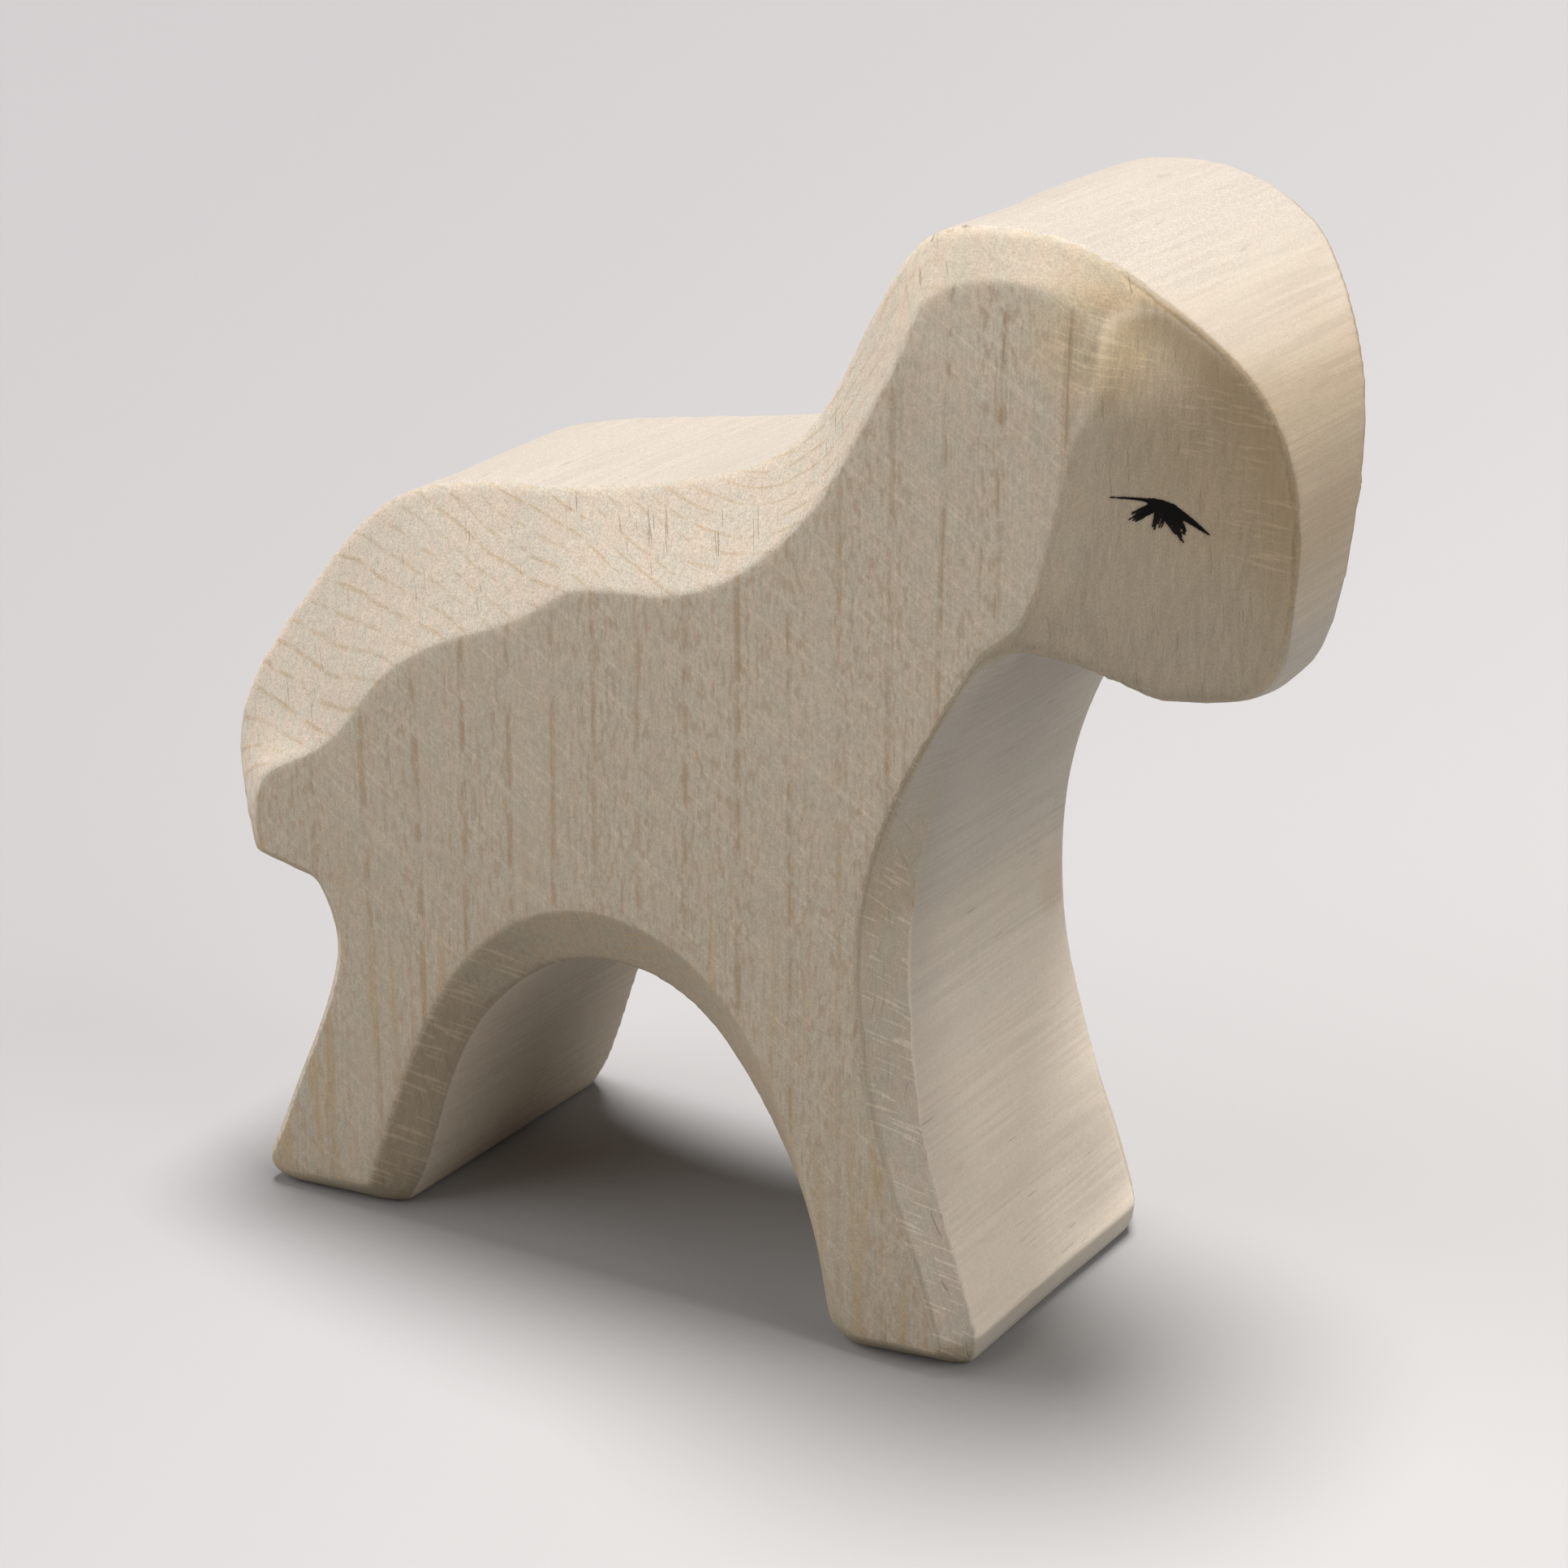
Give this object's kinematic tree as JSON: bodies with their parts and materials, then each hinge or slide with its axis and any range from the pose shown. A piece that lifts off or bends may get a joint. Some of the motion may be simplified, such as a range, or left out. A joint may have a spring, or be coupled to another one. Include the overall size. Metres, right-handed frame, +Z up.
{
  "type": "wooden lamb figure",
  "caption": "Standing lamb cut from one plank of pale wood, with sanded bevels, flat cheeks, raised ears and brush-painted closed eyes; a toy or shelf ornament.",
  "frame": {"origin": "on the ground under the middle of the figure's length and thickness", "axes": "+X towards the head, +Y towards the animal's left side, across the plank, +Z up from the feet"},
  "size_m": [0.0656, 0.024, 0.0647],
  "materials": {
    "bare_wood": "sanded by hand, unpainted, grain upright",
    "eye_paint": "matt black paint laid on with a small brush"
  },
  "bodies": {
    "root": {"wooden_body": "bare_wood", "right_eye": "eye_paint", "left_eye": "eye_paint"}
  },
  "joints": []
}
